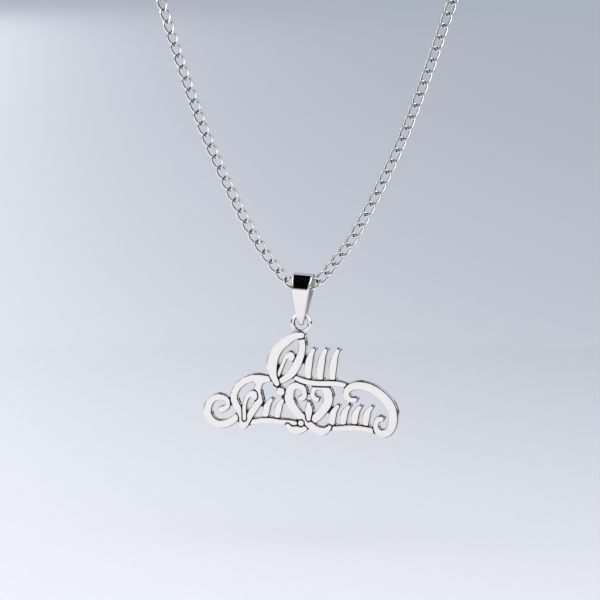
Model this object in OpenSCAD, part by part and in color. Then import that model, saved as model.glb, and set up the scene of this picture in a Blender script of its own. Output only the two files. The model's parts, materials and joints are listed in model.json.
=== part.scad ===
// Necklace with a pierced scrollwork pendant, a tapered bail and a fine curb chain.
// Units are mm. +Z is up, the front faces -Y and +X is to the right as seen from the front.
// The origin is the middle of the clasp at the nape, where the loop lies on the neck.

/* [Chain] */
// Length of chain that each link adds
link_pitch = 2.7; // [2.6:0.02:2.76]
// Outside width of a link across the chain
link_w = 2.6; // [2.5:0.02:2.66]
// Diameter of the wire of a link
wire_d = 0.46; // [0.4:0.02:0.5]
// Half of the rise of the twist that lets the links lie flat in each other
link_twist = 0.5; // [0.46:0.01:0.54]
// Play of each link along the chain
link_play = 0.15; // [0.12:0.01:0.18]
// Flat spans round a link
link_spans = 10; // [8:1:12]
// Sides of the wire of a link
wire_sides = 5; // [5:1:6]

/* [Loop] */
// Drop from the nape to the middle of the lowest link
drop = 124.4; // [123:0.2:126]
// Distance from the nape forward to the lowest link
reach = 92; // [88:1:96]

/* [Bail] */
// Length of the bail from its top to its tip
bail_h = 11.9; // [11.7:0.1:12.2]
// Width of the bail at its top
bail_w = 4.8; // [4:0.1:5]
// Width of the bail at its tip
bail_tip_w = 1.4; // [1.2:0.1:1.6]
// Thickness of the folded strip
strip_t = 0.5; // [0.4:0.05:0.55]
// Depth of the bail from front to back at the chain
bail_d = 5.2; // [4.8:0.1:5.4]
// Height of the rounded shoulder that the chain runs under
bail_shoulder = 3.7; // [3.4:0.1:3.9]
// Outside radius of the fold that holds the pendant's ring
fold_r = 1.55; // [1.5:0.05:1.6]
// Distance from the middle of the fold down to the tip of the solid nose below it
fold_over_tip = 2.4; // [2.3:0.05:2.5]
// Lean of the bail in degrees, with its top to the right
bail_lean = 3; // [2.5:0.25:3.5]

/* [Pendant] */
// Outside diameter of the soldered ring
ring_od = 4.9; // [4.7:0.1:5.1]
// Diameter of the ring's wire
ring_wire = 0.92; // [0.8:0.02:0.94]
// Thickness of the lower layer, which shows as a rim
plate_t = 1.1; // [0.9:0.1:1.3]
// Thickness of the raised polished face above it
face_t = 0.6; // [0.4:0.1:0.8]
// Width of the rim round the raised face
rim_w = 0.2; // [0.16:0.02:0.3]
// Radius that fills the corners where strokes meet
crotch_r = 0.22; // [0.1:0.02:0.3]
// Width of the groove where one stroke's face passes over another
groove_w = 0.26; // [0.24:0.02:0.36]

/* [Clasp] */
// Diameter of the barrel
barrel_d = 4.2; // [3.6:0.1:4.8]
// Wire diameter of the eye at each end
eye_wire = 0.55; // [0.45:0.05:0.6]

/* [Hidden] */
$fn = 48;
silver = "#d9dadd";
over = 1;
half_len = (link_pitch + wire_d) / 2 + link_play;
half_wid = (link_w - wire_d) / 2;

// The right half of the loop from the middle of the lowest link to the nape:
// [sideways, forward of the nape, height over the lowest link]
route = [
    [0, reach, 0],
    [1.35, reach, 0.15],
    [3.85, reach - 0.05, 1.5],
    [7.2, reach - 0.1, 5.25],
    [12.95, reach - 0.3, 13.6],
    [21.8, reach - 0.7, 31.4],
    [28.4, reach - 1.3, 48.5],
    [33.7, reach - 2.3, 64.2],
    [39.3, reach - 7.8, drop - 44],
    [46.1, reach - 22, drop - 24.2],
    [49.4, reach - 44, drop - 11],
    [45.6, 24, drop - 4],
    [31, 6, drop - 1],
    [20, 1.3, drop - 0.1],
    [14, 0, drop],
    [8, 0, drop]
];
route_steps = 12;

// Catmull-Rom position between knots i and i + 1 of the route
function knot(i) = i < 0 ? [-route[1][0], route[1][1], route[1][2]]
    : i >= len(route) ? 2 * route[len(route) - 1] - route[len(route) - 2]
    : route[i];
function between(i, t) = let (p0 = knot(i - 1), p1 = knot(i), p2 = knot(i + 1), p3 = knot(i + 2))
    0.5 * (2 * p1 + t * (p2 - p0) + t * t * (2 * p0 - 5 * p1 + 4 * p2 - p3)
    + t * t * t * (3 * p1 - p0 - 3 * p2 + p3));
trail = [
    for (i = [0 : len(route) - 2], k = [0 : route_steps - 1]) between(i, k / route_steps),
    route[len(route) - 1]
];
function run_lengths(i, total) = i >= len(trail) ? []
    : let (now = i == 0 ? 0 : total + norm(trail[i] - trail[i - 1])) concat([now], run_lengths(i + 1, now));
lengths = run_lengths(0, 0);
half_loop = lengths[len(lengths) - 1];
side_links = floor(half_loop / link_pitch - 1);

// Tables of the route against length, so that links can be set at equal steps
side_at = [for (i = [0 : len(trail) - 1]) [lengths[i], trail[i][0]]];
front_at = [for (i = [0 : len(trail) - 1]) [lengths[i], -trail[i][1]]];
height_at = [for (i = [0 : len(trail) - 1]) [lengths[i], trail[i][2] - drop]];
function loop_point(s) = let (d = abs(s))
    [sign(s) * lookup(d, side_at), lookup(d, front_at), lookup(d, height_at)];
// The broad side of the chain faces forward on the chest, sideways at the neck and back at the nape
turn_at = [[0, 0], [70, 6], [150, 90], [185, 150], [half_loop, 180]];
function unit(v) = v / norm(v);
function outward(s) = let (w = sign(s) * lookup(abs(s), turn_at)) [sin(w), -cos(w), 0];

// One link as a closed wire that is twisted along its length
function link_mid(f) = [half_len * cos(f), half_wid * sin(f), link_twist * sin(2 * f)];
function link_way(f) = unit([-half_len * sin(f), half_wid * cos(f), 2 * link_twist * cos(2 * f)]);
function link_ring(f) = let (way = link_way(f), side = unit(cross(way, [0, 0, 1])), up = cross(side, way))
    [for (k = [0 : wire_sides - 1]) let (g = 360 * (k + 0.5) / wire_sides)
        link_mid(f) + wire_d / 2 * (cos(g) * side + sin(g) * up)];
link_shape = [for (j = [0 : link_spans - 1]) each link_ring(360 * (j + 0.5) / link_spans)];
function link_points(i) = let (
        a = loop_point((i - 0.5) * link_pitch),
        b = loop_point((i + 0.5) * link_pitch),
        along = unit(b - a),
        flat = outward(i * link_pitch),
        across = unit(cross(flat, along)),
        out = cross(along, across))
    [for (p = link_shape) (a + b) / 2 + p[0] * along + p[1] * across + p[2] * out];
link_size = link_spans * wire_sides;
function link_faces(start) = [
    for (j = [0 : link_spans - 1], k = [0 : wire_sides - 1])
        let (
            j2 = (j + 1) % link_spans,
            k2 = (k + 1) % wire_sides,
            p = start + j * wire_sides + k,
            q = start + j2 * wire_sides + k,
            r = start + j2 * wire_sides + k2,
            s = start + j * wire_sides + k2)
        each [[p, r, q], [p, s, r]]
];

module strand(first, last) {
    color(silver)
        polyhedron(
            points = [for (i = [first : last]) each link_points(i)],
            faces = [for (i = [0 : last - first]) each link_faces(i * link_size)],
            convexity = 10);
}

module chain_right() {
    strand(0, side_links);
}

module chain_left() {
    strand(-side_links, -1);
}

// The clasp's eyes take the end links, which stand on edge in them
end_wire_x = loop_point((side_links + 0.5) * link_pitch)[0] + link_pitch / 2 - half_len;
eye_r = 1.25;
eye_gap = 0.3;
eye_sink = 0.1;
eye_x = end_wire_x + (wire_d + eye_wire) / 2 + eye_gap - eye_r;
barrel_end = eye_x - eye_r + eye_sink;
barrel_r = barrel_d / 2;
end_chamfer = 0.8;
seam_depth = 0.25;

module clasp() {
    color(silver) {
        rotate([0, 90, 0])
            rotate_extrude()
                polygon([
                    [0, -barrel_end],
                    [barrel_r - end_chamfer, -barrel_end],
                    [barrel_r, end_chamfer - barrel_end],
                    [barrel_r, -seam_depth],
                    [barrel_r - seam_depth, 0],
                    [barrel_r, seam_depth],
                    [barrel_r, barrel_end - end_chamfer],
                    [barrel_r - end_chamfer, barrel_end],
                    [0, barrel_end]
                ]);
        for (side = [-1, 1])
            translate([side * eye_x, 0, 0])
                rotate_extrude()
                    translate([eye_r, 0])
                        circle(d = eye_wire);
    }
}

// The bail hangs with its shoulder just over the links at its two edges.
// The pendant's ring turns in its lower fold. The pendant's weight lies to the right of its ring,
// so the ring hangs a little to the left of the lowest link, and the bail leans over to it.
chain_under_top = 3.1;
bail_top = chain_under_top - drop;
bail_x = 0.35;
fold_to_top = bail_h - fold_over_tip;
ring_x = -0.25;
ring_lift = 0.1;
hang_z = bail_top - fold_to_top * cos(bail_lean) + ring_lift;
// The blank is cut in at the shoulder by shoulder_cut, and its sides run straight
// from widest_at under the top to tip_at over the bottom, where tip_cut rounds them in
shoulder_cut = 0.1;
widest_at = 1.2;
tip_at = 0.6;
tip_cut = 0.3;
// Radius of the nose at the tip
nose_r = 0.6;
// Facets of the whole circles of the shoulder and of the lower fold
shoulder_fn = 72;
fold_fn = 36;

// The folded strip from the side, an oval shoulder that runs down to the lower fold
module strip_outline() {
    hull() {
        translate([0, -bail_shoulder])
            scale([bail_d / 2 / bail_shoulder, 1])
                circle(r = bail_shoulder, $fn = shoulder_fn);
        translate([0, -fold_to_top])
            circle(r = fold_r, $fn = fold_fn);
    }
}

// The strip's ends are soldered together into a solid nose below the fold
module bail_side() {
    difference() {
        hull() {
            strip_outline();
            translate([0, nose_r - bail_h])
                circle(r = nose_r, $fn = fold_fn);
        }
        offset(delta = -strip_t)
            strip_outline();
    }
}

// The blank from the front, a little longer than the bail at both ends
module blank_outline() {
    low = bail_tip_w / 2;
    high = bail_w / 2;
    polygon([
        [shoulder_cut - high, over],
        [-high, -widest_at],
        [-low, tip_at - bail_h],
        [tip_cut - low, -bail_h - over],
        [low - tip_cut, -bail_h - over],
        [low, tip_at - bail_h],
        [high, -widest_at],
        [high - shoulder_cut, over]
    ]);
}

module bail() {
    color(silver)
        translate([bail_x, -reach, bail_top])
            rotate([0, bail_lean, 0])
                intersection() {
                    rotate([90, 0, 90])
                        linear_extrude(height = bail_w + 2 * over, center = true)
                            bail_side();
                    rotate([90, 0, 0])
                        linear_extrude(height = bail_d + 2 * over, center = true)
                            blank_outline();
                }
}

// Strokes of the scrollwork in the pendant's plane. [0, 0] lies just below the middle of the ring.
// Each row is [across, up, heading in degrees, width of the stroke].

// Tall leaf under the ring: its two sides and the curled vein inside it
tall_left = [
    [0.4, -2.0, 172, 1.8],
    [-3.7, -3.9, 217, 2.4],
    [-6.5, -8.9, 265, 2.8],
    [-5.3, -13.2, 302, 1.6]
];
tall_right = [
    [-0.9, -2.0, 4, 1.6],
    [0.6, -4.8, 266, 1.9],
    [-1.0, -9.4, 244, 2.3],
    [-5.8, -13.4, 210, 1.5]
];
tall_vein = [
    [-5.3, -12.2, 76, 1.2],
    [-4.1, -9.0, 68, 1.2],
    [-2.4, -6.3, 28, 1.3],
    [-1.8, -7.4, 245, 1.6]
];

// Stem of the upper spray and the first of its leaves
spray_stem = [
    [-1.8, -11.1, 320, 1.4],
    [2.0, -12.6, 350, 1.6],
    [7.0, -12.7, 2, 1.6],
    [10.9, -13.2, 335, 1.5]
];
spray_leaf = [[2.0, -12.5, 98, 1.7], [2.1, -8.4, 82, 2.1], [3.2, -5.2, 60, 1.3]];
spray_count = 3;
spray_step = 2.85;

// Open curl at the left end
left_curl = [
    [-18.6, -19.7, 20, 1.7],
    [-16.8, -18.4, 82, 1.4],
    [-18.9, -16.7, 182, 1.7],
    [-21.75, -20.0, 268, 2.1],
    [-18.4, -23.0, 2, 2.1],
    [-13.6, -19.8, 52, 1.7]
];

// Broad leaf beside it and the curled vein inside it
broad_leaf = [[-13.2, -22.7, 66, 2.6], [-12.4, -16.6, 78, 8.2], [-7.2, -12.2, 350, 1.7]];
broad_vein = [
    [-13.0, -21.6, 84, 1.2],
    [-12.8, -17.6, 72, 1.3],
    [-11.1, -15.4, 18, 1.3],
    [-10.6, -16.6, 250, 1.6]
];

// Stem and leaves between the broad leaf and the heart
inner_stem = [
    [-12.8, -22.3, 350, 1.6],
    [-10.0, -22.0, 12, 1.6],
    [-5.6, -21.8, 350, 1.6],
    [-0.6, -22.2, 340, 1.4]
];
inner_leaf = [[-8.0, -21.4, 98, 1.6], [-7.8, -19.0, 80, 2.0], [-6.6, -16.9, 50, 1.2]];
inner_count = 2;
inner_step = 2.75;

// Heart of two mirrored curls, whose ends cross and run out as tails, with a bud inside it
heart_x = 2.1;
heart_curl = [
    [0.2, -16.4, 350, 1.6],
    [1.2, -15.0, 98, 1.4],
    [-0.6, -13.4, 182, 1.9],
    [-2.5, -15.9, 266, 2.5],
    [-0.6, -19.7, 308, 2.3],
    [2.1, -22.0, 316, 2.0],
    [5.2, -23.7, 2, 2.3],
    [7.0, -22.6, 62, 1.3]
];
heart_bud = [[2.1, -21.0, 90, 1.4], [2.1, -18.9, 90, 2.2], [2.1, -17.4, 90, 1.3]];

// Stem and leaves between the heart and the right end
outer_stem = [
    [6.4, -22.7, 345, 1.4],
    [10.0, -22.8, 8, 1.6],
    [14.4, -22.7, 352, 1.6],
    [18.8, -23.6, 335, 1.6]
];
outer_leaf = [[7.6, -22.3, 98, 1.6], [7.7, -19.9, 80, 2.0], [8.9, -17.8, 50, 1.2]];
outer_count = 4;
outer_step = 2.6;

// Long sweep over the right end
sweep = [
    [12.9, -16.2, 200, 1.5],
    [10.8, -15.0, 88, 1.8],
    [13.8, -12.9, 4, 2.1],
    [19.2, -15.2, 320, 2.4],
    [21.7, -20.0, 267, 2.4],
    [19.5, -23.7, 186, 2.1],
    [17.7, -21.9, 86, 1.5],
    [19.0, -20.3, 350, 1.6]
];

// Berries on the stems: [across, up, diameter]
berries = [[-4.5, -15.0, 2.4], [0.3, -22.0, 1.8]];

// Bridge of the lower layer between the left curl and the broad leaf: [across, up, angle, length]
bridge = [-15.6, -18.0, 18, 2.6];
bridge_w = 0.7;
// Width of the broad leaf's two sides
broad_rim = 1.9;
// Radius of a face's outer corners, which also drops pieces narrower than twice that
face_corner_r = 0.2;

// Steps along a stroke between two rows, steps round its end, and facets of rounded corners
stroke_steps = 5;
cap_steps = 6;
corner_fn = 12;

// Smooth curve between two rows, with handles that keep it close to an arc
function turn_from(h, c) = let (d = (h - c) % 360) d > 180 ? d - 360 : d < -180 ? d + 360 : d;
function handle(h, c, gap) = gap / pow(cos(turn_from(h, c) / 2), 2) * [cos(h), sin(h)];
function stroke_point(p, q, t) = let (
        gap = norm([q[0] - p[0], q[1] - p[1]]),
        c = atan2(q[1] - p[1], q[0] - p[0]),
        u = handle(p[2], c, gap),
        v = handle(q[2], c, gap),
        t2 = t * t,
        t3 = t2 * t,
        at = (2 * t3 - 3 * t2 + 1) * [p[0], p[1]] + (t3 - 2 * t2 + t) * u
            + (3 * t2 - 2 * t3) * [q[0], q[1]] + (t3 - t2) * v,
        way = (6 * t2 - 6 * t) * [p[0], p[1]] + (3 * t2 - 4 * t + 1) * u
            + (6 * t - 6 * t2) * [q[0], q[1]] + (3 * t2 - 2 * t) * v)
    [at[0], at[1], atan2(way[1], way[0]), p[3] + (q[3] - p[3]) * (3 * t2 - 2 * t3)];
function stroke_spine(rows) = [
    for (i = [0 : len(rows) - 2], k = [0 : stroke_steps - 1])
        stroke_point(rows[i], rows[i + 1], k / stroke_steps),
    rows[len(rows) - 1]
];
function offset_point(p, turn, share) =
    [p[0] + share * p[3] * cos(p[2] + turn), p[1] + share * p[3] * sin(p[2] + turn)];
function stroke_outline(rows) = let (spine = stroke_spine(rows), n = len(spine) - 1)
    concat(
        [for (i = [0 : n]) offset_point(spine[i], 90, 0.5)],
        [for (k = [1 : cap_steps - 1]) offset_point(spine[n], 90 - 180 * k / cap_steps, 0.5)],
        [for (i = [n : -1 : 0]) offset_point(spine[i], -90, 0.5)],
        [for (k = [1 : cap_steps - 1]) offset_point(spine[0], -90 - 180 * k / cap_steps, 0.5)]);

module stroke(rows) {
    polygon(stroke_outline(rows));
}

function moved(rows, step) = [for (r = rows) [r[0] + step, r[1], r[2], r[3]]];
function mirrored(rows, axis) = [for (r = rows) [2 * axis - r[0], r[1], 180 - r[2], r[3]]];

// A leaf that is pierced inside a rim of even width
module pierced(rows, rim) {
    difference() {
        stroke(rows);
        offset(delta = -rim)
            stroke(rows);
    }
}

// All the strokes from the lowest to the highest, each with its rim if it is pierced or else 0
lines = [
    for (i = [0 : inner_count - 1]) [moved(inner_leaf, i * inner_step), 0],
    for (i = [outer_count - 1 : -1 : 0]) [moved(outer_leaf, i * outer_step), 0],
    for (i = [spray_count - 1 : -1 : 0]) [moved(spray_leaf, i * spray_step), 0],
    [inner_stem, 0],
    [outer_stem, 0],
    [left_curl, 0],
    [broad_leaf, broad_rim],
    [broad_vein, 0],
    [mirrored(heart_curl, heart_x), 0],
    [heart_curl, 0],
    [heart_bud, 0],
    [spray_stem, 0],
    [tall_vein, 0],
    [tall_right, 0],
    [tall_left, 0],
    [sweep, 0]
];

module line(l) {
    if (l[1] > 0)
        pierced(l[0], l[1]);
    else
        stroke(l[0]);
}

module berry_shapes() {
    for (b = berries)
        translate([b[0], b[1]])
            circle(d = b[2]);
}

module scroll_lines() {
    for (l = lines)
        line(l);
    berry_shapes();
}

// Fills the corners where lines meet, so that the metal has no sharp notches
module filled() {
    offset(r = -crotch_r, $fn = corner_fn)
        offset(delta = crotch_r)
            children();
}

module scroll_base() {
    filled() {
        scroll_lines();
        translate([bridge[0], bridge[1]])
            rotate(bridge[2])
                square([bridge[3], bridge_w], center = true);
    }
}

// Each stroke's raised face, inside its rim, with the faces under it cut back by a groove
module raised_lines(n) {
    if (n >= 0) {
        difference() {
            raised_lines(n - 1);
            offset(delta = groove_w - rim_w)
                filled()
                    stroke(lines[n][0]);
        }
        offset(delta = -rim_w)
            filled()
                line(lines[n]);
    }
}

module scroll_face() {
    offset(r = face_corner_r, $fn = corner_fn)
        offset(delta = -face_corner_r) {
            difference() {
                raised_lines(len(lines) - 1);
                offset(delta = groove_w - rim_w)
                    berry_shapes();
            }
            offset(delta = -rim_w)
                berry_shapes();
        }
}

// The plate's back lies plate_back behind the middle of the ring. Its strokes start plate_drop below
// that middle and plate_x to the side, so that only the ring's foot is buried.
plate_back = 0.78;
plate_drop = 0.7;
plate_x = -0.2;
ring_r = (ring_od - ring_wire) / 2;

module pendant() {
    color(silver)
        translate([ring_x, -reach, hang_z - ring_r]) {
            translate([plate_x, plate_back, -plate_drop])
                rotate([90, 0, 0]) {
                    linear_extrude(height = plate_t)
                        scroll_base();
                    translate([0, 0, plate_t])
                        linear_extrude(height = face_t)
                            scroll_face();
                }
            rotate([90, 0, 0])
                rotate_extrude()
                    translate([ring_r, 0])
                        circle(d = ring_wire);
        }
}

chain_right();
chain_left();
clasp();
bail();
pendant();
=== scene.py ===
import json
import math

import bpy
import numpy as np
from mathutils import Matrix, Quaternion, Vector
from mathutils.geometry import delaunay_2d_cdt


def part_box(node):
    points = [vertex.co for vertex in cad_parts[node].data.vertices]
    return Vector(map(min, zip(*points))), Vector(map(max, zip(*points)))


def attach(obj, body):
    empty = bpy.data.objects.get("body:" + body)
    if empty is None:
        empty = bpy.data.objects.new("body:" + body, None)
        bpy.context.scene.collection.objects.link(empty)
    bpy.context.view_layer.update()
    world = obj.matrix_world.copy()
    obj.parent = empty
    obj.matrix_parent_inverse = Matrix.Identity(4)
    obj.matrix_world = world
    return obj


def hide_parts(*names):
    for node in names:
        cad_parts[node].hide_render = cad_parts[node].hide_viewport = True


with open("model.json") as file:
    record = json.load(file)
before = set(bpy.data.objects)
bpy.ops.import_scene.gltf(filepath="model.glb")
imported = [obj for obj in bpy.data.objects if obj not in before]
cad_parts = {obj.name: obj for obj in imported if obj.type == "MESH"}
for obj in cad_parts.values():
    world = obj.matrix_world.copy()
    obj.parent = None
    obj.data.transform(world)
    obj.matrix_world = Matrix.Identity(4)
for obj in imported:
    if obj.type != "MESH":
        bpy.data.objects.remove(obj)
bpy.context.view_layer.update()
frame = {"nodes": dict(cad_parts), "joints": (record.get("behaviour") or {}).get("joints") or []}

MM = 0.001


# Camera
# It stands a little to the right of the pendant and just above it, far off with a long lens, so
# that the two strands of the chain hardly draw together towards the top.
VIEW_AZIMUTH = math.radians(15)
VIEW_ELEVATION = math.radians(7)
VIEW_DISTANCE = 0.9
VIEW_WIDTH = 0.1352
VIEW_CENTRE = Vector((-0.00058, -0.092, -0.12745))

toward_camera = Vector((
    math.sin(VIEW_AZIMUTH) * math.cos(VIEW_ELEVATION),
    -math.cos(VIEW_AZIMUTH) * math.cos(VIEW_ELEVATION),
    math.sin(VIEW_ELEVATION),
))
lens = bpy.data.cameras.new("camera")
lens.lens = lens.sensor_width * VIEW_DISTANCE / VIEW_WIDTH
camera = bpy.data.objects.new("camera", lens)
camera.location = VIEW_CENTRE + VIEW_DISTANCE * toward_camera
camera.rotation_euler = (-toward_camera).to_track_quat("-Z", "Y").to_euler()
bpy.context.collection.objects.link(camera)
bpy.context.scene.camera = camera


# Chain
# Fine curb chain of drawn wire. Each link is bent to an oval, soldered shut and twisted, so that it
# lies flat in its neighbours, and the chain's two broad sides are planed so that they flash.
WIRE_R = 0.26 * MM
LINK_HALF_LENGTH = 1.73 * MM
LINK_HALF_WIDTH = 1.07 * MM
LINK_TWIST = 0.5 * MM
PLANED_AT = 0.62 * MM
LINK_STEPS = 32
WIRE_SIDES = 12
WELD_DIGITS = 5
# Where the painted shade begins on a link's long sides and at its ends, where its neighbours cross,
# as the cosine of the way round the wire from its outer side
SHADE_ON_SIDES = -0.62
SHADE_AT_ENDS = -0.1


def shaped(name, points, faces, normals, materials, kinds=None):
    """A smooth mesh object with a normal at each point, and a number for each face's material."""
    mesh = bpy.data.meshes.new(name)
    mesh.from_pydata([tuple(p) for p in points], [], [tuple(map(int, f)) for f in faces])
    mesh.polygons.foreach_set("use_smooth", [True] * len(mesh.polygons))
    for material in materials:
        mesh.materials.append(material)
    if kinds is not None:
        mesh.polygons.foreach_set("material_index", kinds)
    mesh.normals_split_custom_set_from_vertices([tuple(n) for n in normals])
    made = bpy.data.objects.new(name, mesh)
    bpy.context.collection.objects.link(made)
    return made


def unit(rows):
    """Each row of an array at length 1."""
    return rows / np.linalg.norm(rows, axis=-1, keepdims=True)


def grid_faces(rings, around, closed=True):
    """Quads over rings of points, ring by ring. A closed grid joins its last ring to its first."""
    faces = []
    for j in range(rings if closed else rings - 1):
        for k in range(around):
            here, there = j * around, (j + 1) % rings * around
            faces.append((here + k, there + k, there + (k + 1) % around, here + (k + 1) % around))
    return faces


def welded(node):
    """A CAD node's points without repeats, and its triangles as rows of their numbers."""
    mesh = node.data
    points = np.zeros(len(mesh.vertices) * 3)
    mesh.vertices.foreach_get("co", points)
    keys, number = np.unique(
        np.round(points.reshape(-1, 3) / MM, WELD_DIGITS), axis=0, return_inverse=True)
    corners = np.array([p.vertices[:] for p in mesh.polygons])
    return keys * MM, number.reshape(-1)[corners]


def loose_solids(node):
    """The points of each loose solid of a CAD node."""
    points, triangles = welded(node)
    label = np.arange(len(points))
    while True:
        lowest = label[triangles].min(axis=1)
        spread = label.copy()
        for k in range(3):
            np.minimum.at(spread, triangles[:, k], lowest)
        if (spread == label).all():
            break
        label = spread
    return [points[label == n] for n in np.unique(label)]


def link_template():
    """Points and normals of one link, which lies along X with its broad side along Z."""
    f = np.linspace(0, 2 * math.pi, LINK_STEPS, endpoint=False)[:, None]
    g = np.linspace(0, 2 * math.pi, WIRE_SIDES, endpoint=False)[None, :, None]
    middle = np.hstack([
        LINK_HALF_LENGTH * np.cos(f),
        LINK_HALF_WIDTH * np.sin(f),
        LINK_TWIST * np.sin(2 * f)])
    way = unit(np.hstack([
        -LINK_HALF_LENGTH * np.sin(f),
        LINK_HALF_WIDTH * np.cos(f),
        2 * LINK_TWIST * np.cos(2 * f)]))
    side = unit(np.cross(way, [0, 0, 1]))
    up = np.cross(side, way)
    normal = np.cos(g) * side[:, None] + np.sin(g) * up[:, None]
    point = middle[:, None] + WIRE_R * normal
    planed = np.abs(point[..., 2]) > PLANED_AT
    normal[planed] = np.sign(point[planed][:, 2:]) * [0, 0, 1]
    point[..., 2] = np.clip(point[..., 2], -PLANED_AT, PLANED_AT)
    return point.reshape(-1, 3), normal.reshape(-1, 3)


def linear(code):
    """An sRGB hex colour as linear RGBA."""
    parts = [int(code[i:i + 2], 16) / 255 for i in (1, 3, 5)]
    return [c / 12.92 if c <= 0.04045 else ((c + 0.055) / 1.055) ** 2.4 for c in parts] + [1]


def add(tree, kind, inputs=(), take=None, **settings):
    """Adds a node with its settings and returns its output. An input takes a value or an output."""
    made = tree.nodes.new(kind)
    for name, value in settings.items():
        setattr(made, name, value)
    sockets = {s.name: s for s in reversed(made.inputs) if s.enabled}
    for name, value in dict(inputs).items():
        if isinstance(value, bpy.types.NodeSocket):
            tree.links.new(value, sockets[name])
        else:
            sockets[name].default_value = value
    return next((s for s in made.outputs if s.enabled and take in (None, s.name)), None)


def new_material(name):
    """An empty material and its node tree."""
    material = bpy.data.materials.new(name)
    material.use_nodes = True
    material.node_tree.nodes.clear()
    return material, material.node_tree


PLATING_COLOUR = linear("#f6f1eb")

# Rhodium flash over drawn wire. The draw marks are 0.1 mm apart, coarser than real ones so that
# they show, and tumbling with steel pins has left a faint pebble of 0.3 mm between them.
plated_wire, tree = new_material("rhodium_plated_drawn_wire")
place = add(tree, "ShaderNodeTexCoord", take="Object")
pebble = add(tree, "ShaderNodeTexNoise", {"Vector": place, "Scale": 1 / (0.3 * MM), "Detail": 3.0})
marks = add(tree, "ShaderNodeTexNoise", {"Vector": place, "Scale": 1 / (0.1 * MM), "Detail": 1.0})
gloss = add(tree, "ShaderNodeMapRange", {"Value": marks, "To Min": 0.06, "To Max": 0.16})
relief = add(tree, "ShaderNodeBump", {"Height": pebble, "Strength": 0.25, "Distance": 0.01 * MM})
skin = add(tree, "ShaderNodeBsdfPrincipled", {
    "Base Color": PLATING_COLOUR, "Metallic": 1.0, "Roughness": gloss, "Normal": relief})
add(tree, "ShaderNodeOutputMaterial", {"Surface": skin})

# The same wire on the inner side of a link, with painted shade for the shade that its other side and
# its neighbours cast there. Its patches are 0.25 mm across.
painted_shade_wire, tree = new_material("rhodium_plated_wire_with_painted_shade")
place = add(tree, "ShaderNodeTexCoord", take="Object")
patches = add(tree, "ShaderNodeTexNoise", {
    "Vector": place, "Scale": 1 / (0.25 * MM), "Detail": 2.0})
tone = add(tree, "ShaderNodeMix", {
    "Factor": patches, "A": linear("#111113"), "B": linear("#343438")}, data_type="RGBA")
gloss = add(tree, "ShaderNodeMapRange", {"Value": patches, "To Min": 0.25, "To Max": 0.4})
skin = add(tree, "ShaderNodeBsdfPrincipled", {
    "Base Color": tone, "Metallic": 1.0, "Roughness": gloss})
add(tree, "ShaderNodeOutputMaterial", {"Surface": skin})

template, template_normals = link_template()
link_quads = np.array(grid_faces(LINK_STEPS, WIRE_SIDES))
# Faces on each link's inner side get the painted shade, which reaches further round the wire at the
# link's ends
link_shade_mask = []
for j in range(LINK_STEPS):
    at_end = math.cos(2 * math.pi * (j + 0.5) / LINK_STEPS) ** 4
    reach = SHADE_ON_SIDES + (SHADE_AT_ENDS - SHADE_ON_SIDES) * at_end
    link_shade_mask += [math.cos(2 * math.pi * (k + 0.5) / WIRE_SIDES) < reach for k in range(WIRE_SIDES)]
for side in ("right", "left"):
    points, normals, faces = [], [], []
    for solid in loose_solids(frame["nodes"]["chain_" + side]):
        # The solid's length, width and thickness are the link's X, Y and Z
        middle = solid.mean(axis=0)
        axes = np.linalg.svd(solid - middle)[2]
        axes[2] *= np.linalg.det(axes)
        faces.extend(link_quads + len(points) * len(template))
        points.append(middle + template @ axes)
        normals.append(template_normals @ axes)
    strand = shaped(
        "curb_chain_" + side, np.concatenate(points), faces, np.concatenate(normals),
        [plated_wire, painted_shade_wire], np.tile(link_shade_mask, len(points)).astype(int))
    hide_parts("chain_" + side)
    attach(strand, "chain")


# Clasp
# Barrel clasp at the nape, turned from rod, with a seam where its halves screw together and a
# soldered wire eye at each end for the last link.
BARREL_R = 2.1 * MM
BARREL_END = 8.488 * MM
BARREL_TIP_R = 0.02 * BARREL_R
BARREL_CHAMFER = 0.8 * MM
BARREL_ROUND = 0.2 * MM
SEAM = 0.25 * MM
EYE_R = 1.25 * MM
EYE_WIRE_R = 0.275 * MM
EYE_X = 9.638 * MM
EYE_STEPS = 48
EYE_SIDES = 16
TURNED_STEPS = 96
ROUND_STEPS = 6
ROUND_SHARE = 0.45


def rounded(corners, radius):
    """An open outline whose inner corners are rounded to a radius, as points and normals."""
    corners = np.array(corners, float)

    def left_of(a, b):
        way = unit(b - a)
        return np.array([-way[1], way[0]])

    points, normals = [corners[0]], [left_of(corners[0], corners[1])]
    for a, b, c in zip(corners, corners[1:], corners[2:]):
        shorter = min(np.linalg.norm(b - a), np.linalg.norm(c - b))
        reach = min(radius, ROUND_SHARE * shorter)
        start, end = b + reach * unit(a - b), b + reach * unit(c - b)
        first, last = left_of(a, b), left_of(b, c)
        for t in np.linspace(0, 1, ROUND_STEPS):
            points.append((1 - t) ** 2 * start + 2 * t * (1 - t) * b + t * t * end)
            normals.append(unit((1 - t) * first + t * last))
    points.append(corners[-1])
    normals.append(left_of(corners[-2], corners[-1]))
    return np.array(points), np.array(normals)


def turned(outline, outline_normals):
    """Points and normals of an outline of [along X, out from X] turned round X."""
    turn = np.linspace(0, 2 * math.pi, TURNED_STEPS, endpoint=False)[None, :]

    def spun(flat):
        x = np.repeat(flat[:, :1], TURNED_STEPS, axis=1)
        y, z = flat[:, 1:] * np.cos(turn), flat[:, 1:] * np.sin(turn)
        return np.stack([x, y, z], axis=-1).reshape(-1, 3)

    return spun(outline), spun(outline_normals)


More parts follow.
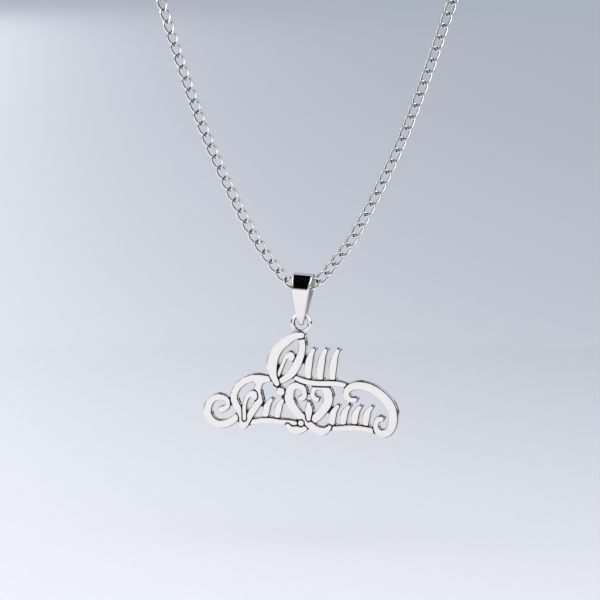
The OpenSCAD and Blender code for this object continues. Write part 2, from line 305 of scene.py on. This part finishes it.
def wire_ring(ring_r, wire_r, steps, sides):
    """Points, normals and faces of a ring of wire that lies flat in XY."""
    f = np.linspace(0, 2 * math.pi, steps, endpoint=False)[:, None, None]
    g = np.linspace(0, 2 * math.pi, sides, endpoint=False)[None, :, None]
    out = np.concatenate([np.cos(f), np.sin(f), 0 * f], axis=2)
    normal = np.cos(g) * out + np.sin(g) * np.array([0, 0, 1])
    point = ring_r * out + wire_r * normal
    return point.reshape(-1, 3), normal.reshape(-1, 3), grid_faces(steps, sides)


# Rhodium flash over turned and buffed metal. The tool marks that buffing leaves are drawn 0.75 mm
# apart, coarser than real ones, so that they show. A wave node turns 20 radians to a unit of scale.
plated_barrel, tree = new_material("rhodium_plated_turned_rod")
place = add(tree, "ShaderNodeTexCoord", take="Object")
marks = add(tree, "ShaderNodeTexWave", {
    "Vector": place, "Scale": 2 * math.pi / 20 / (0.75 * MM), "Distortion": 1.0, "Detail": 2.0,
}, bands_direction="X")
wear = add(tree, "ShaderNodeTexNoise", {"Vector": place, "Scale": 1 / (0.8 * MM), "Detail": 4.0})
gloss = add(tree, "ShaderNodeMapRange", {"Value": wear, "To Min": 0.05, "To Max": 0.2})
relief = add(tree, "ShaderNodeBump", {"Height": marks, "Strength": 0.15, "Distance": 0.005 * MM})
skin = add(tree, "ShaderNodeBsdfPrincipled", {
    "Base Color": PLATING_COLOUR, "Metallic": 1.0, "Roughness": gloss, "Normal": relief})
add(tree, "ShaderNodeOutputMaterial", {"Surface": skin})

half_barrel = [
    (-BARREL_END, BARREL_TIP_R), (-BARREL_END, BARREL_R - BARREL_CHAMFER),
    (BARREL_CHAMFER - BARREL_END, BARREL_R), (-SEAM, BARREL_R), (0, BARREL_R - SEAM)]
barrel_corners = half_barrel + [(-x, r) for x, r in reversed(half_barrel[:-1])]
outline, outline_normals = rounded(barrel_corners, BARREL_ROUND)
points, normals = turned(outline, outline_normals)
faces = [tuple(reversed(f)) for f in grid_faces(len(outline), TURNED_STEPS, closed=False)]
faces.append(tuple(reversed(range(TURNED_STEPS))))
faces.append(tuple(range(len(points) - TURNED_STEPS, len(points))))
eye_points, eye_normals, eye_faces = wire_ring(EYE_R, EYE_WIRE_R, EYE_STEPS, EYE_SIDES)
for x in (-EYE_X, EYE_X):
    faces += [tuple(i + len(points) for i in f) for f in eye_faces]
    points = np.concatenate([points, eye_points + [x, 0, 0]])
    normals = np.concatenate([normals, eye_normals])
clasp = shaped("barrel_clasp", points, faces, normals, [plated_barrel])
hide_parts("clasp")
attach(clasp, "chain")


# Bail
# A tapered strip folded into a tall loop, with its ends soldered together into a solid nose below
# the fold. The long edges of its outer side are filed to a bevel, and that side is buffed to a
# mirror. The chain runs through its top.
BAIL_TOP = np.array([0.35, -92, -121.3]) * MM
BAIL_LEAN = math.radians(3)
# Ovals that the strip is folded round, seen from the side, as [height, half depth, half height].
# Heights are from the bail's top.
SHOULDER = (-3.7 * MM, 2.6 * MM, 3.7 * MM)
FOLD = (-9.5 * MM, 1.55 * MM, 1.55 * MM)
NOSE = (-11.3 * MM, 0.6 * MM, 0.6 * MM)
STRIP = 0.5 * MM
# [height, half of the strip's width] in mm
BAIL_HALF_WIDTHS = [(-12.9, 0.4), (-11.3, 0.7), (-1.2, 2.4), (1, 2.3)]
BEVEL_WIDTH = 0.46 * MM
BEVEL_DEPTH = 0.3 * MM
INNER_EDGE = 0.08 * MM
BAIL_STEPS = 160
HOLLOW_STEPS = 1000
OVAL_STEPS = 1500
SAME_PLACE = 1e-7


def evenly(loop, count):
    """A closed outline set out again at that many even steps."""
    steps = np.linalg.norm(np.roll(loop, -1, axis=0) - loop, axis=1)
    reached = np.concatenate([[0], np.cumsum(steps)])
    wanted = np.linspace(0, reached[-1], count, endpoint=False)
    closed = np.concatenate([loop, loop[:1]])
    return np.stack([np.interp(wanted, reached, closed[:, k]) for k in (0, 1)], axis=1)


def loop_normals(loop):
    """Normals on the right-hand side of a closed outline."""
    way = unit(np.roll(loop, -1, axis=0) - np.roll(loop, 1, axis=0))
    return np.stack([way[:, 1], -way[:, 0]], axis=1)


def side_outline(ovals, count):
    """The outline round ovals of [height, half depth, half height], as [depth, height]."""
    t = np.linspace(0, 2 * math.pi, OVAL_STEPS, endpoint=False)
    around = np.stack([np.cos(t), np.sin(t)], axis=1)
    rims = np.concatenate([around * [depth, rise] + [0, height] for height, depth, rise in ovals])
    hull = rims[np.argmax(around @ rims.T, axis=1)]
    fresh = np.linalg.norm(hull - np.roll(hull, 1, axis=0), axis=1) > SAME_PLACE
    return evenly(hull[fresh], count)


def nearest_on(loop, points):
    """The nearest place on a closed outline to each of the points."""
    along = np.roll(loop, -1, axis=0) - loop
    share = np.clip(((points[:, None] - loop) * along).sum(-1) / (along ** 2).sum(-1), 0, 1)
    foot = loop + share[..., None] * along
    best = np.linalg.norm(points[:, None] - foot, axis=-1).argmin(axis=1)
    return foot[np.arange(len(points)), best]


def half_width_at(height):
    """Half of the strip's width at a height, which is 0 at the bail's top."""
    heights, half_widths = zip(*BAIL_HALF_WIDTHS)
    return np.interp(height / MM, heights, half_widths) * MM


outer = side_outline([SHOULDER, FOLD, NOSE], BAIL_STEPS)
outward = loop_normals(outer)
hollow_outline = side_outline([SHOULDER, FOLD], HOLLOW_STEPS)
inner = nearest_on(hollow_outline - STRIP * loop_normals(hollow_outline), outer)
through = unit(outer - inner)

# Half of the cross-section as [0 for the outer skin or 1 for the inner, in from the edge, in from
# the skin, normal across, normal out]
section = []
for turn in np.radians([0, 15, 30, 45, 60, 75, 90]):
    section.append((
        0, BEVEL_WIDTH * (1 - math.sin(turn)), BEVEL_DEPTH * (1 - math.cos(turn)),
        math.sin(turn), math.cos(turn)))
for turn in np.radians([90, 120, 150, 180]):
    section.append((
        1, INNER_EDGE * (1 - math.sin(turn)), -INNER_EDGE * (1 + math.cos(turn)),
        math.sin(turn), math.cos(turn)))
whole = [(1, *row) for row in section] + [(-1, *row) for row in reversed(section)]
points, normals = [], []
for j in range(BAIL_STEPS):
    for sign, skin, inset, sunk, across_part, out_part in whole:
        out = through[j] if skin else outward[j]
        depth, height = (inner[j] if skin else outer[j]) - sunk * out
        flare = (half_width_at(height + STRIP / 2) - half_width_at(height - STRIP / 2)) / STRIP
        points.append([sign * (half_width_at(height) - inset), depth, height])
        normals.append(unit(np.array([
            sign * across_part, out_part * out[0], out_part * out[1] - across_part * flare])))
lean = np.array([
    [math.cos(BAIL_LEAN), 0, math.sin(BAIL_LEAN)],
    [0, 1, 0],
    [-math.sin(BAIL_LEAN), 0, math.cos(BAIL_LEAN)]])
points, normals = BAIL_TOP + np.array(points) @ lean.T, np.array(normals) @ lean.T

# Rhodium flash over buffed sheet. Buffing leaves hairlines that run round the strip, drawn 0.15 mm
# apart so that they show, and a slow ripple of about 2 mm in the mirror.
plated_sheet, tree = new_material("rhodium_plated_buffed_sheet")
place = add(tree, "ShaderNodeTexCoord", take="Object")
along = add(tree, "ShaderNodeMapping", {"Vector": place, "Scale": (1, 0.04, 0.04)})
hairs = add(tree, "ShaderNodeTexNoise", {"Vector": along, "Scale": 1 / (0.15 * MM), "Detail": 2.0})
ripple = add(tree, "ShaderNodeTexNoise", {"Vector": place, "Scale": 1 / (2 * MM), "Detail": 1.0})
gloss = add(tree, "ShaderNodeMapRange", {"Value": hairs, "To Min": 0.02, "To Max": 0.1})
waves = add(tree, "ShaderNodeBump", {"Height": ripple, "Strength": 0.3, "Distance": 0.02 * MM})
relief = add(tree, "ShaderNodeBump", {
    "Height": hairs, "Strength": 0.1, "Distance": 0.002 * MM, "Normal": waves})
skin = add(tree, "ShaderNodeBsdfPrincipled", {
    "Base Color": PLATING_COLOUR, "Metallic": 1.0, "Roughness": gloss, "Normal": relief})
add(tree, "ShaderNodeOutputMaterial", {"Surface": skin})

# The same flash over the strip's inner side, which the buff doesn't reach and which stays satin.
# Its grain is 0.12 mm across, coarser than real, so that it shows.
satin_sheet, tree = new_material("rhodium_plated_satin_sheet")
place = add(tree, "ShaderNodeTexCoord", take="Object")
grain = add(tree, "ShaderNodeTexNoise", {"Vector": place, "Scale": 1 / (0.12 * MM), "Detail": 3.0})
tone = add(tree, "ShaderNodeMix", {
    "Factor": grain, "A": linear("#c9c6c4"), "B": linear("#dddad8")}, data_type="RGBA")
gloss = add(tree, "ShaderNodeMapRange", {"Value": grain, "To Min": 0.45, "To Max": 0.6})
skin = add(tree, "ShaderNodeBsdfPrincipled", {
    "Base Color": tone, "Metallic": 1.0, "Roughness": gloss})
add(tree, "ShaderNodeOutputMaterial", {"Surface": skin})

inside = [whole[k][1] and whole[(k + 1) % len(whole)][1] for k in range(len(whole))]
bail = shaped(
    "folded_bail", points, grid_faces(BAIL_STEPS, len(whole)), normals, [plated_sheet, satin_sheet],
    inside * BAIL_STEPS)
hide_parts("bail")
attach(bail, "bail")


# Pendant
# A casting of two layers, with a round ring soldered on at its top. The lower layer carries a raised
# face of the same scrolls, a little smaller, so that a rim shows all round. The face and the edges
# are buffed. Sizes are in mm.
FACE_HEIGHT = 0.6
PLATE_EDGE = 0.12
FACE_EDGE = 0.1
FOOT = 0.03
EDGE_STEPS = 4
OUTLINE_STEP = 0.16
FEWEST_STEPS = 16
SPLINE_STEPS = 12
LONG_EDGE = 3
SMOOTHINGS = 2
RING_OD = 4.9
RING_WIRE = 0.92
RING_STEPS = 96
RING_SIDES = 28
SAME_DEPTH = 1e-3
TINY = 1e-6
# Where the painted shade begins on the ring's inner side, as the cosine of the way round its wire
RING_SHADE_SHARE = -0.55


def outlines(node, depth, from_front):
    """A node's closed outlines at a depth in mm, as [across, up], with metal on the left."""
    points, triangles = welded(node)
    points = points / MM
    level = np.abs(points[triangles][..., 1] - depth).max(axis=1) < SAME_DEPTH
    edges = {(t[i], t[(i + 1) % 3]) for t in triangles[level].tolist() for i in range(3)}
    after = {a: b for a, b in edges if (b, a) not in edges}
    loops = []
    while after:
        start, here = after.popitem()
        loop = [start]
        while here != start:
            loop.append(here)
            here = after.pop(here)
        flat = points[loop][:, [0, 2]]
        loops.append(flat if from_front else flat[::-1])
    return loops


def smooth_outline(loop):
    """An outline drawn through by a centripetal spline and set out at even steps."""
    # A long edge beside a short one gets a point near its end, so that the spline turns in the
    # corner alone
    eased = []
    for a, b, c, d in zip(*[np.roll(loop, k, axis=0) for k in (1, 0, -1, -2)]):
        before, length, after = (np.linalg.norm(q - p) for p, q in ((a, b), (b, c), (c, d)))
        eased.append(b)
        if length > LONG_EDGE * before:
            eased.append(b + (c - b) * before / length)
        if length > LONG_EDGE * after:
            eased.append(c - (c - b) * after / length)
    loop = np.array(eased)
    drawn = []
    count = len(loop)
    for i in range(count):
        p = [loop[(i + k) % count] for k in (-1, 0, 1, 2)]
        strides = [np.linalg.norm(b - a) ** 0.5 for a, b in zip(p, p[1:])]
        knots = np.concatenate([[0], np.cumsum(strides)])
        span = np.linspace(knots[1], knots[2], SPLINE_STEPS, endpoint=False)[:, None]

        def blend(a, b, start, end):
            whole = knots[end] - knots[start]
            return (knots[end] - span) / whole * a + (span - knots[start]) / whole * b

        a1, a2, a3 = blend(p[0], p[1], 0, 1), blend(p[1], p[2], 1, 2), blend(p[2], p[3], 2, 3)
        b1, b2 = blend(a1, a2, 0, 2), blend(a2, a3, 1, 3)
        drawn.append(blend(b1, b2, 1, 2))
    drawn = np.concatenate(drawn)
    length = np.linalg.norm(np.roll(drawn, -1, axis=0) - drawn, axis=1).sum()
    drawn = evenly(drawn, max(FEWEST_STEPS, round(length / OUTLINE_STEP)))
    for _ in range(SMOOTHINGS):
        drawn = (np.roll(drawn, 1, axis=0) + 2 * drawn + np.roll(drawn, -1, axis=0)) / 4
    return drawn


class Casting:
    """Points, normals and faces of the pendant as they are added, in mm."""

    def __init__(self):
        self.points, self.normals, self.faces = [], [], []

    def wall(self, loops, rows):
        """Walls over each outline. Returns the numbers of their first and last rows of points.

        A row is [out from the outline, depth, share of the normal that points out, share that
        points back].
        """
        first, last = [], []
        for loop in loops:
            out = loop_normals(loop)
            start, count = len(self.points), len(loop)
            for away, depth, outward_share, back_share in rows:
                flat = loop + away * out
                for p, n in zip(flat, out):
                    self.points.append((p[0], depth, p[1]))
                    self.normals.append((outward_share * n[0], back_share, outward_share * n[1]))
            quads = grid_faces(len(rows), count, closed=False)
            self.faces += [tuple(i + start for i in reversed(q)) for q in quads]
            first.append(list(range(start, start + count)))
            last.append(list(range(start + (len(rows) - 1) * count, start + len(rows) * count)))
        return first, last

    def cap(self, loops, front):
        """Fills the metal between closed rows of points that lie at one depth."""
        used = [i for loop in loops for i in loop]
        # Rounded as delaunay_2d_cdt rounds them, so that both see the same outlines
        flat = np.array([(self.points[i][0], self.points[i][2]) for i in used], np.float32)
        flat = flat.astype(float)
        edges, start = [], 0
        for loop in loops:
            edges += [(start + k, start + (k + 1) % len(loop)) for k in range(len(loop))]
            start += len(loop)
        made = delaunay_2d_cdt([Vector(p) for p in flat], edges, [], 0, TINY)
        numbers = [used[origin[0]] for origin in made[3]]
        middles = np.array([np.mean([made[0][i] for i in face], axis=0) for face in made[2]])
        a, b = flat[[e[0] for e in edges]], flat[[e[1] for e in edges]]
        inside = np.zeros(len(middles), bool)
        for low, high in zip(a, b):
            crosses = (low[1] > middles[:, 1]) != (high[1] > middles[:, 1])
            if crosses.any():
                share = (middles[:, 1] - low[1]) / (high[1] - low[1])
                inside ^= crosses & (middles[:, 0] < low[0] + share * (high[0] - low[0]))
        for face, kept in zip(made[2], inside):
            if kept:
                corners = [numbers[i] for i in face]
                self.faces.append(tuple(corners if front else reversed(corners)))


def arc_rows(away, depth, size, start, end):
    """Rows of a rounded edge about a centre, from heading to heading. 0 is out and 90 is back."""
    rows = []
    for turn in np.radians(np.linspace(start, end, EDGE_STEPS)):
        out, back = math.cos(turn), math.sin(turn)
        rows.append((away + size * out, depth + size * back, out, back))
    return rows


pendant_node = frame["nodes"]["pendant"]
low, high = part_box("pendant")
swing = next(joint for joint in frame["joints"] if joint["name"] == "pendant_swing")
swing_at = np.array(swing["pos_m"]) / MM
front_depth, back_depth = low.y / MM, high.y / MM
plate_depth = front_depth + FACE_HEIGHT
base_loops = [smooth_outline(p) for p in outlines(pendant_node, back_depth, False)]
face_loops = [smooth_outline(p) for p in outlines(pendant_node, front_depth, True)]

casting = Casting()
base_rows = arc_rows(-PLATE_EDGE, back_depth - PLATE_EDGE, PLATE_EDGE, 90, 0)
base_rows += arc_rows(-PLATE_EDGE, plate_depth + PLATE_EDGE, PLATE_EDGE, 0, -90)
back_edge, rim_edge = casting.wall(base_loops, base_rows)
face_rows = []
for turn in np.radians([90, 60, 30, 0]):
    out, front = math.cos(turn), math.sin(turn)
    face_rows.append((FOOT * (1 - out), plate_depth - FOOT * (1 - front), out, -front))
face_rows += arc_rows(-FACE_EDGE, front_depth + FACE_EDGE, FACE_EDGE, 0, -90)
foot_edge, face_edge = casting.wall(face_loops, face_rows)
casting.cap(back_edge, front=False)
casting.cap(rim_edge + foot_edge, front=True)
casting.cap(face_edge, front=True)
# Faces on the ledge and on the raised face's walls below its rounded edge get the painted shade
kinds = [
    all(front_depth + FACE_EDGE - TINY < casting.points[i][1] < plate_depth + TINY for i in face)
    for face in casting.faces]

ring_points, ring_normals, ring_faces = wire_ring(
    (RING_OD - RING_WIRE) / 2, RING_WIRE / 2, RING_STEPS, RING_SIDES)
# Faces on the ring's inner side get the painted shade of the recess
ring_shade_mask = [math.cos(2 * math.pi * (k + 0.5) / RING_SIDES) < RING_SHADE_SHARE for k in range(RING_SIDES)]
kinds += ring_shade_mask * RING_STEPS
ring_centre = np.array([swing_at[0], swing_at[1], high.z / MM - RING_OD / 2])
casting.faces += [tuple(i + len(casting.points) for i in face) for face in ring_faces]
casting.points += [ring_centre + (x, -z, y) for x, y, z in ring_points]
casting.normals += [(x, -z, y) for x, y, z in ring_normals]

# Rhodium flash over a buffed casting. The mirror keeps a slow ripple of about 1.5 mm from the
# mould, and wiping leaves fine hairlines, drawn 0.12 mm apart so that they show.
plated_casting, tree = new_material("rhodium_plated_buffed_casting")
place = add(tree, "ShaderNodeTexCoord", take="Object")
slanted = add(tree, "ShaderNodeMapping", {
    "Vector": place, "Rotation": (0, 0.6, 0), "Scale": (1, 1, 0.06)})
hairs = add(tree, "ShaderNodeTexNoise", {
    "Vector": slanted, "Scale": 1 / (0.12 * MM), "Detail": 2.0})
ripple = add(tree, "ShaderNodeTexNoise", {"Vector": place, "Scale": 1 / (1.5 * MM), "Detail": 1.0})
gloss = add(tree, "ShaderNodeMapRange", {"Value": hairs, "To Min": 0.03, "To Max": 0.12})
waves = add(tree, "ShaderNodeBump", {"Height": ripple, "Strength": 0.4, "Distance": 0.02 * MM})
relief = add(tree, "ShaderNodeBump", {
    "Height": hairs, "Strength": 0.1, "Distance": 0.002 * MM, "Normal": waves})
skin = add(tree, "ShaderNodeBsdfPrincipled", {
    "Base Color": PLATING_COLOUR, "Metallic": 1.0, "Roughness": gloss, "Normal": relief})
add(tree, "ShaderNodeOutputMaterial", {"Surface": skin})

# The ledge round the raised face, the grooves between strokes and the ring's inner side, which are
# left unbuffed and carry painted shade, a dark colour for the shade in the recess. Its grain is 0.15
# mm across, coarse enough to show.
painted_shade_recess, tree = new_material("silver_recess_with_painted_shade")
place = add(tree, "ShaderNodeTexCoord", take="Object")
grain = add(tree, "ShaderNodeTexNoise", {"Vector": place, "Scale": 1 / (0.15 * MM), "Detail": 3.0})
tone = add(tree, "ShaderNodeMix", {
    "Factor": grain, "A": linear("#151517"), "B": linear("#3c3c40")}, data_type="RGBA")
gloss = add(tree, "ShaderNodeMapRange", {"Value": grain, "To Min": 0.3, "To Max": 0.5})
relief = add(tree, "ShaderNodeBump", {"Height": grain, "Strength": 0.3, "Distance": 0.01 * MM})
skin = add(tree, "ShaderNodeBsdfPrincipled", {
    "Base Color": tone, "Metallic": 1.0, "Roughness": gloss, "Normal": relief})
add(tree, "ShaderNodeOutputMaterial", {"Surface": skin})

pendant = shaped(
    "scroll_pendant", np.array(casting.points) * MM, casting.faces, casting.normals,
    [plated_casting, painted_shade_recess], kinds)
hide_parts("pendant")
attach(pendant, "pendant")


# Studio
# A wide floor of pale paper under a pale sky, with a weak soft light on either side, one over the
# floor before the necklace and one low over the floor far behind it. Cards stand round the set.
FLOOR_Z = -0.185
FLOOR_R = 5.0
FLOOR_STEPS = 128

# Matt paper with a faint fleck of 3 mm
paper, tree = new_material("matt_white_paper")
place = add(tree, "ShaderNodeTexCoord", take="Object")
fleck = add(tree, "ShaderNodeTexNoise", {"Vector": place, "Scale": 1 / (3 * MM), "Detail": 3.0})
tone = add(tree, "ShaderNodeMix", {
    "Factor": fleck, "A": linear("#f0f1f6"), "B": linear("#f4f5f9")}, data_type="RGBA")
skin = add(tree, "ShaderNodeBsdfPrincipled", {
    "Base Color": tone, "Roughness": 0.7, "Specular IOR Level": 0.2})
add(tree, "ShaderNodeOutputMaterial", {"Surface": skin})

rim = [(FLOOR_R * math.cos(t), FLOOR_R * math.sin(t), FLOOR_Z)
       for t in np.linspace(0, 2 * math.pi, FLOOR_STEPS, endpoint=False)]
floor_mesh = bpy.data.meshes.new("floor")
floor_mesh.from_pydata(rim, [], [tuple(range(FLOOR_STEPS))])
floor_mesh.materials.append(paper)
floor = bpy.data.objects.new("floor", floor_mesh)
bpy.context.collection.objects.link(floor)

# Cards that show in reflections alone and give the metal its dark and bright edges. A black one
# arches over the front and a grey one goes on over the back. A low dark one stands round the sides
# and the back, and white ones stand above it at the left and the right.
CARD_STEPS = 48
ARCH_R = 1.3
ARCH_SIDES = (-0.6, -0.1)
ARCH_ELEVATIONS = (1, 102)
BAND_R = 0.36
REAR_ELEVATIONS = (102, 172)
LOW_TOP = -0.085
LOW_AZIMUTHS = (45, 315)
SIDE_TOP = 0.6
LEFT_AZIMUTHS = (255, 330)
RIGHT_AZIMUTHS = (40, 92)


def reflected_card(name, near_edge, far_edge, colour, strength=1.0):
    """A card between two rows of points, which the camera and the light on the set don't meet."""
    count = len(near_edge)
    mesh = bpy.data.meshes.new(name)
    mesh.from_pydata(near_edge + far_edge, [], [
        (k, k + 1, count + k + 1, count + k) for k in range(count - 1)])
    coat, tree = new_material(name + "_lit_card")
    place = add(tree, "ShaderNodeTexCoord", take="Object")
    # A card's glow is uneven in patches of 50 mm
    grain = add(tree, "ShaderNodeTexNoise", {
        "Vector": place, "Scale": 1 / (50 * MM), "Detail": 2.0})
    light = add(tree, "ShaderNodeMapRange", {
        "Value": grain, "To Min": 0.9 * strength, "To Max": 1.1 * strength})
    skin = add(tree, "ShaderNodeEmission", {"Color": linear(colour), "Strength": light})
    add(tree, "ShaderNodeOutputMaterial", {"Surface": skin})
    mesh.materials.append(coat)
    card = bpy.data.objects.new(name, mesh)
    bpy.context.collection.objects.link(card)
    card.visible_camera = card.visible_diffuse = card.visible_shadow = False
    return card


def upright_card(name, azimuths, heights, colour, strength=1.0):
    """A card that stands round the set between two heights. 0 is the front and 90 the right."""
    turns = np.radians(np.linspace(*azimuths, CARD_STEPS))
    foot = [(BAND_R * math.sin(a), VIEW_CENTRE.y - BAND_R * math.cos(a)) for a in turns]
    edges = [[(x, y, z) for x, y in foot] for z in heights]
    return reflected_card(name, *edges, colour, strength)


def arched_card(name, elevations, colour):
    """A card bent over the set from front to back. 0 is the front and 180 the back."""
    turns = np.radians(np.linspace(*elevations, CARD_STEPS))
    arch = [(-ARCH_R * math.cos(e), ARCH_R * math.sin(e)) for e in turns]
    edges = [[VIEW_CENTRE + Vector((x, y, z)) for y, z in arch] for x in ARCH_SIDES]
    return reflected_card(name, *edges, colour)


front_card = arched_card("front", ARCH_ELEVATIONS, "#050506")
rear_card = arched_card("rear", REAR_ELEVATIONS, "#bcbbc2")
low_card = upright_card("low", LOW_AZIMUTHS, (FLOOR_Z + 1 * MM, LOW_TOP), "#1c1c20")
left_card = upright_card("left", LEFT_AZIMUTHS, (LOW_TOP, SIDE_TOP), "#f3f8ff", 1.6)
right_card = upright_card("right", RIGHT_AZIMUTHS, (LOW_TOP, SIDE_TOP), "#f3f8ff", 2.3)


def soft_light(name, place, target, size, power, colour, reflected=True, length=None, turn=0):
    """A soft light, square unless it has a length too. It can be turned in its own plane."""
    lamp = bpy.data.lights.new(name, "AREA")
    lamp.shape = "RECTANGLE"
    lamp.size = size
    lamp.size_y = length or size
    lamp.energy = power
    lamp.color = linear(colour)[:3]
    made = bpy.data.objects.new(name, lamp)
    made.location = place
    aim = (Vector(target) - Vector(place)).to_track_quat("-Z", "Y")
    made.rotation_euler = (aim @ Quaternion((0, 0, 1), turn)).to_euler()
    made.visible_camera = False
    made.visible_glossy = reflected
    bpy.context.collection.objects.link(made)


soft_light("left_light", (-0.73, -0.22, 0.39), VIEW_CENTRE, 0.5, 0.4, "#fffdfa")
soft_light("right_light", (1.02, 0.09, 0.47), VIEW_CENTRE, 0.4, 0.15, "#f6f9ff")
soft_light(
    "floor_light", (-0.05, -0.53, 0.16), (-0.05, -0.53, FLOOR_Z), 1.4, 3.2, "#fff9f3",
    reflected=False, length=0.9)
soft_light(
    "backdrop_light", (-0.64, 0.99, 0.02), (-0.64, 0.99, FLOOR_Z), 0.15, 2.5, "#fffdfa",
    reflected=False, length=2.35, turn=math.radians(18))

sky = bpy.data.worlds.new("sky")
sky.use_nodes = True
sky.node_tree.nodes.clear()
glow = add(sky.node_tree, "ShaderNodeBackground", {"Color": linear("#b3bac4"), "Strength": 1.0})
add(sky.node_tree, "ShaderNodeOutputWorld", {"Surface": glow})
bpy.context.scene.world = sky
bpy.context.scene.view_settings.view_transform = "Standard"
